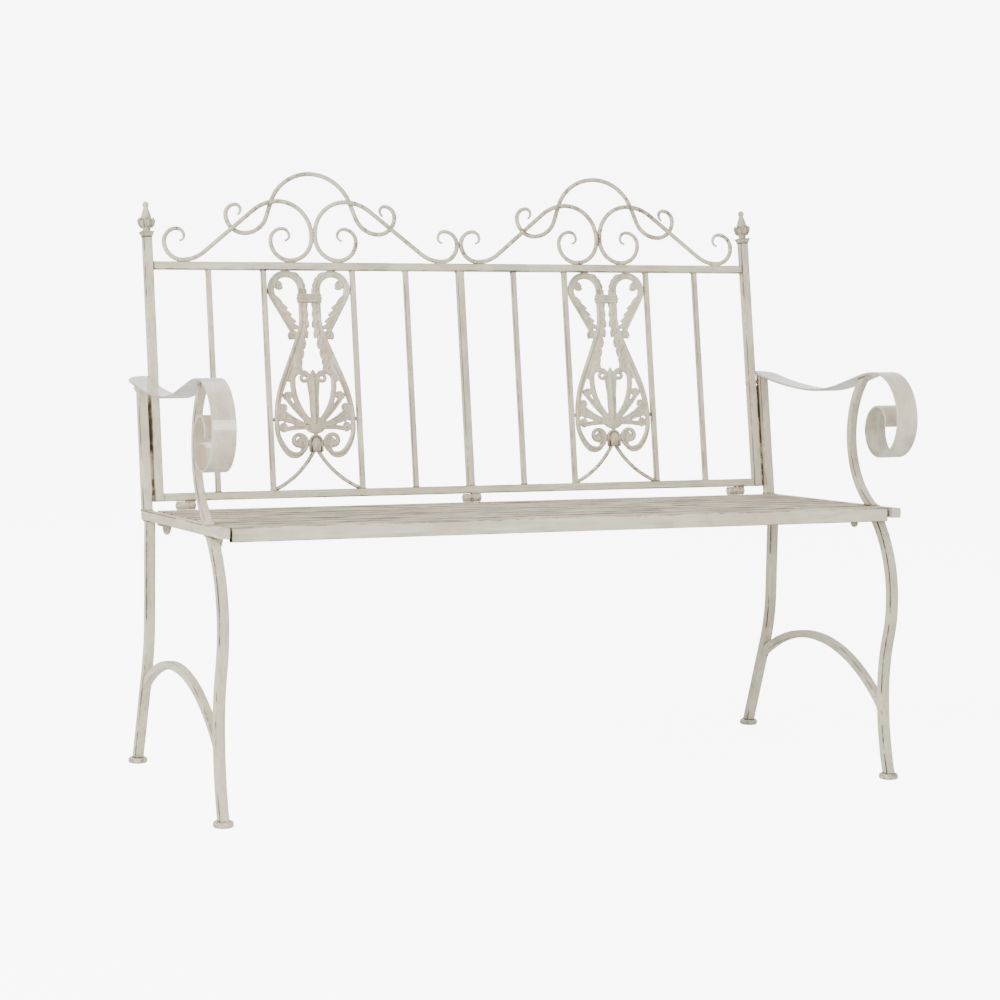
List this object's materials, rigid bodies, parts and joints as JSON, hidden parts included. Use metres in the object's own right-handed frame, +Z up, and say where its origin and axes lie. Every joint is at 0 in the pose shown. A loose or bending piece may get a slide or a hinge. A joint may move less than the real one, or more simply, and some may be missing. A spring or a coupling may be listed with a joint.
{
  "type": "garden bench",
  "caption": "Painted steel garden bench with a slatted seat, scrolled strip armrests, curved square-tube legs and a leaned-back barred back with cast ornaments, scrollwork and finials.",
  "frame": {"origin": "middle of the bench's footprint box, on the floor", "axes": "+X along the bench, to the right as seen from the front, -Y out of the front, +Y to the rear, +Z up"},
  "size_m": [1.1916, 0.5796, 0.9839],
  "materials": {
    "tube_paint": "brushed antique cream paint on square steel tube and round steel rod, rubbed to brown at the edges",
    "slat_paint": "antique cream paint with fine lengthwise brush streaks on flat steel strip",
    "armrest_paint": "smoother antique cream paint with a soft sheen on rolled flat strip",
    "casting_paint": "antique cream paint over metal castings, brown in the hollows",
    "foot_paint": "worn antique cream paint",
    "hinge_paint": "antique cream paint, brown around the knuckles",
    "hardware_zinc": "dulled zinc plate"
  },
  "bodies": {
    "seat_frame": {"right_side_rail": "tube_paint", "left_side_rail": "tube_paint", "right_front_leg": "tube_paint", "left_front_leg": "tube_paint", "right_rear_leg": "tube_paint", "left_rear_leg": "tube_paint", "right_leg_arch": "tube_paint", "left_leg_arch": "tube_paint", "right_arm_support": "tube_paint", "left_arm_support": "tube_paint", "right_rear_post": "tube_paint", "left_rear_post": "tube_paint", "right_armrest": "armrest_paint", "left_armrest": "armrest_paint", "right_front_foot": "foot_paint", "left_front_foot": "foot_paint", "right_rear_foot": "foot_paint", "left_rear_foot": "foot_paint", "rail_plugs": "tube_paint", "seat_brackets": "tube_paint", "spacer_strips": "tube_paint", "front_apron": "tube_paint", "rear_seat_rail": "tube_paint", "right_seat_end": "tube_paint", "left_seat_end": "tube_paint", "seat_bearers": "tube_paint", "seat_slat_1": "slat_paint", "seat_slat_2": "slat_paint", "seat_slat_3": "slat_paint", "seat_slat_4": "slat_paint", "seat_slat_5": "slat_paint", "seat_slat_6": "slat_paint", "seat_slat_7": "slat_paint", "seat_slat_8": "slat_paint", "seat_slat_9": "slat_paint", "hinge_seat_knuckles": "hinge_paint", "hinge_pins": "hardware_zinc", "frame_bolts": "hardware_zinc", "cap_nuts": "hardware_zinc"},
    "back": {"right_stile": "tube_paint", "left_stile": "tube_paint", "bottom_rail": "tube_paint", "top_rail": "tube_paint", "centre_bar": "tube_paint", "left_bars": "tube_paint", "right_bars": "tube_paint", "left_outer_scroll": "tube_paint", "left_inner_scroll": "tube_paint", "left_scroll_arch": "tube_paint", "right_outer_scroll": "tube_paint", "right_inner_scroll": "tube_paint", "right_scroll_arch": "tube_paint", "left_ornament": "casting_paint", "right_ornament": "casting_paint", "ornament_bindings": "casting_paint", "ornament_stays": "tube_paint", "right_finial": "casting_paint", "left_finial": "casting_paint", "hinge_back_knuckles": "hinge_paint"}
  },
  "joints": [
    {"name": "back_fold", "type": "hinge", "parent": "seat_frame", "child": "back", "pos_m": [0, 0.17677, 0.435], "axis": [1, 0, 0], "range_deg": [0, 66]}
  ]
}
